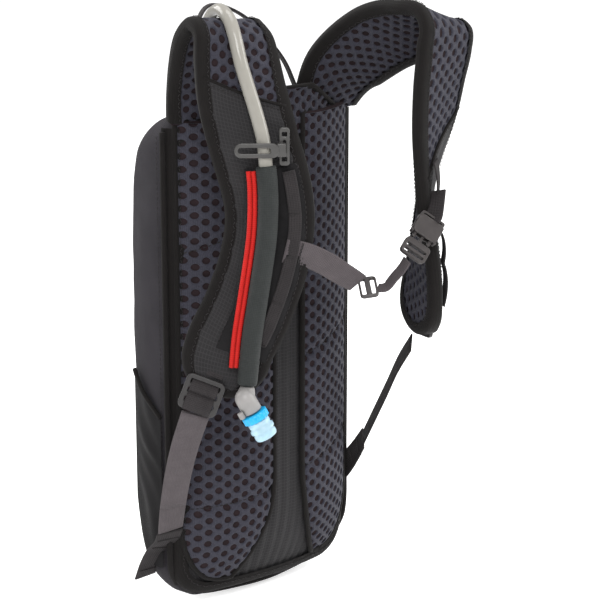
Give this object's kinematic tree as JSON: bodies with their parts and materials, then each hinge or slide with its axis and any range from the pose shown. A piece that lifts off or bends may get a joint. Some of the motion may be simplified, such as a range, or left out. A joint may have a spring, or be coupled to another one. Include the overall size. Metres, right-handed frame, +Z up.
{
  "type": "hydration_backpack",
  "caption": "Slim hydration backpack with mesh back pads, padded shoulder straps, sternum strap, reservoir and drinking hose with bite valve",
  "frame": {"origin": "where the haul loop hangs, on the pack's middle plane, 59 mm above the top of the bag", "axes": "+Z up, +X the wearer's left, the wearer's back rests on the -Y side"},
  "size_m": [0.2233, 0.1972, 0.4521],
  "materials": {
    "spacer_mesh": "air mesh knitted with an open honeycomb of holes over dark foam",
    "ripstop": "dark grey ripstop with a fine grid",
    "gusset_cloth": "charcoal plain weave",
    "stretch_cloth": "black stretch knit",
    "binding": "black-brown folded binding tape",
    "webbing": "taupe-grey ribbed webbing",
    "webbing_dark": "dark ribbed webbing",
    "dark_plastic": "moulded dark grey plastic",
    "brown_plastic": "moulded grey-brown plastic",
    "smoky_plastic": "smoky translucent plastic",
    "hose_plastic": "milky translucent hose",
    "hose_cover": "dark grey-green woven sleeve",
    "red_piping": "ribbed bright red cord",
    "valve_grey": "light grey moulded plastic",
    "valve_blue": "bright blue moulded plastic",
    "cap_silicone": "pale blue translucent silicone",
    "reservoir_film": "clear blue-tinted film",
    "stiff_sheet": "white-grey plastic sheet"
  },
  "bodies": {
    "pack": {"back_panel": "ripstop", "frame_sheet": "stiff_sheet", "back_pad_right": "spacer_mesh", "back_pad_left": "spacer_mesh", "yoke_pad": "spacer_mesh", "main_shell": "gusset_cloth", "reservoir_divider": "ripstop", "edge_piping": "binding", "side_pocket_right": "stretch_cloth", "side_pocket_left": "stretch_cloth", "main_zip_chain": "binding", "haul_loop": "webbing_dark", "hose_port": "binding", "reservoir": "reservoir_film", "reservoir_slide_closure": "valve_grey", "reservoir_outlet": "valve_blue", "reservoir_hanger": "dark_plastic", "inner_hose": "hose_plastic", "upper_hose": "hose_plastic", "hose_clip_plate": "smoky_plastic", "hose_clip_arm": "smoky_plastic", "hose_dock_piping": "red_piping", "shoulder_strap_right": "spacer_mesh", "shoulder_strap_left": "spacer_mesh", "strap_binding_right": "binding", "strap_binding_left": "binding", "strap_cover_right": "ripstop", "strap_cover_left": "ripstop", "daisy_chain_right": "webbing", "daisy_chain_left": "webbing", "adjuster_stub_right": "webbing_dark", "adjuster_stub_left": "webbing_dark", "lower_webbing_right": "webbing", "lower_webbing_left": "webbing_dark", "anchor_tab_right": "webbing_dark", "anchor_tab_left": "webbing_dark", "sternum_webbing_right": "webbing", "buckle_loop": "webbing_dark", "buckle_housing": "brown_plastic"},
    "hose_drop": {"lower_hose": "hose_plastic", "hose_sleeve": "hose_cover"},
    "valve": {"valve_elbow": "valve_grey"},
    "shutoff": {"valve_shutoff": "valve_grey"},
    "mouthpiece": {"valve_collar": "valve_blue", "bite_cap": "cap_silicone"},
    "lock_right": {"ladder_lock_right": "dark_plastic"},
    "lock_left": {"ladder_lock_left": "dark_plastic"},
    "zip_runner": {"zip_slider": "dark_plastic"},
    "zip_pull": {"zip_puller": "dark_plastic"},
    "sternum_tail": {"buckle_tongue": "brown_plastic", "sternum_webbing_left": "webbing", "sternum_slider": "brown_plastic"},
    "prong_upper": {"buckle_prong_upper": "brown_plastic"},
    "prong_lower": {"buckle_prong_lower": "brown_plastic"}
  },
  "joints": [
    {"name": "hose_swing", "type": "hinge", "parent": "pack", "child": "hose_drop", "pos_m": [-0.065, -0.092, -0.077], "axis": [-0.769, 0.6392, 0], "range_deg": [0, 30]},
    {"name": "valve_swivel", "type": "hinge", "parent": "hose_drop", "child": "valve", "pos_m": [-0.081, -0.091, -0.239], "axis": [0, 0, 1], "range_deg": [-25, 25]},
    {"name": "shutoff_turn", "type": "hinge", "parent": "valve", "child": "shutoff", "pos_m": [-0.086, -0.095, -0.2415], "axis": [0.3601, -0.3201, -0.8763], "range_deg": [0, 60]},
    {"name": "mouthpiece_twist", "type": "hinge", "parent": "valve", "child": "mouthpiece", "pos_m": [-0.086, -0.095, -0.2415], "axis": [0.3601, -0.3201, -0.8763], "range_deg": [0, 90]},
    {"name": "right_lock_tilt", "type": "hinge", "parent": "pack", "child": "lock_right", "pos_m": [-0.09836, -0.06906, -0.2314], "axis": [-0.701, 0.6154, 0.3604], "range_deg": [0, 35]},
    {"name": "left_lock_tilt", "type": "hinge", "parent": "pack", "child": "lock_left", "pos_m": [0.09466, -0.07984, -0.20762], "axis": [-0.2397, -0.969, 0.0599], "range_deg": [0, 35]},
    {"name": "zip_run", "type": "slide", "parent": "pack", "child": "zip_runner", "axis": [0, 0, 1], "range_m": [-0.1, 0.02]},
    {"name": "zip_pull_lift", "type": "hinge", "parent": "zip_runner", "child": "zip_pull", "pos_m": [-0.06293, 0.05443, -0.18], "axis": [0.9431, 0.3326, 0], "range_deg": [0, 100]},
    {"name": "buckle_release", "type": "slide", "parent": "pack", "child": "sternum_tail", "axis": [-0.7217, -0.1203, -0.6816], "range_m": [0, 0.012]},
    {"name": "prong_upper_squeeze", "type": "hinge", "parent": "sternum_tail", "child": "prong_upper", "pos_m": [0.04838, -0.1325, -0.14783], "axis": [-0.2989, -0.837, 0.4584], "range_deg": [0, 7], "stiffness_Nm_per_rad": 0.05},
    {"name": "prong_lower_squeeze", "type": "hinge", "parent": "sternum_tail", "child": "prong_lower", "pos_m": [0.04074, -0.12597, -0.1409], "axis": [-0.2989, -0.837, 0.4584], "range_deg": [-7, 0]}
  ],
  "couplings": [
    {"joint": "prong_lower_squeeze", "follows": "prong_upper_squeeze", "ratio": -1}
  ]
}
